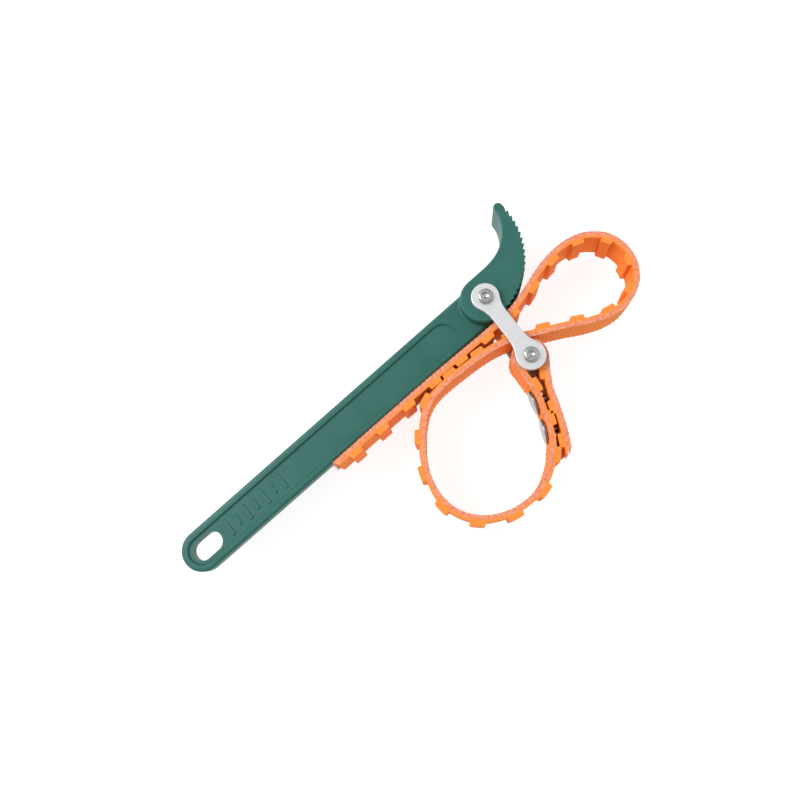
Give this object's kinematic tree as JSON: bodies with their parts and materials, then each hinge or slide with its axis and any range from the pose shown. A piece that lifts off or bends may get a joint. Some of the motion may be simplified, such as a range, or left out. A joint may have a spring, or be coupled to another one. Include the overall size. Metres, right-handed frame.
{
  "type": "oil filter wrench",
  "caption": "Hand wrench for canister filters: a flat bar handle with a serrated hook head, linked by two plates to a toothed belt doubled into a gripping loop.",
  "frame": {"origin": "under the middle of the whole tool's box, at the height of its lowest screw head", "axes": "+X along the handle from the hang slot to the hook, +Y across the tool to the hook's side, +Z out of the tool's front face"},
  "size_m": [0.2544, 0.1186, 0.0313],
  "materials": {
    "green_paint": "satin green powder coat on a casting",
    "plate_steel": "satin nickel-plated steel",
    "screw_steel": "bright zinc-plated steel",
    "belt": "moulded orange polyurethane with a woven back",
    "rivet_steel": "polished nickel-plated steel"
  },
  "bodies": {
    "handle": {"handle": "green_paint", "belt_tail": "belt", "belt_small_loop": "belt"},
    "link": {"pivot_pin": "screw_steel", "belt_pin": "screw_steel", "link_plate_front": "plate_steel", "link_plate_back": "plate_steel", "pivot_screw_front": "screw_steel", "pivot_screw_back": "screw_steel", "belt_pin_screw_front": "screw_steel", "belt_pin_screw_back": "screw_steel", "belt_return": "belt"},
    "belt": {"belt_grip_loop": "belt", "rivet_post_upper": "rivet_steel", "rivet_post_lower": "rivet_steel", "rivet_cap_upper": "rivet_steel", "rivet_cap_lower": "rivet_steel"}
  },
  "joints": [
    {"name": "link_swing", "type": "hinge", "parent": "handle", "child": "link", "pos_m": [0.05986, 0.02753, 0.01565], "axis": [0, 0, 1], "range_deg": [0, 12], "deforming": ["belt_return"]},
    {"name": "belt_swing", "type": "hinge", "parent": "link", "child": "belt", "pos_m": [0.05638, -0.0073, 0.01565], "axis": [0, 0, 1], "range_deg": [0, 8]}
  ]
}
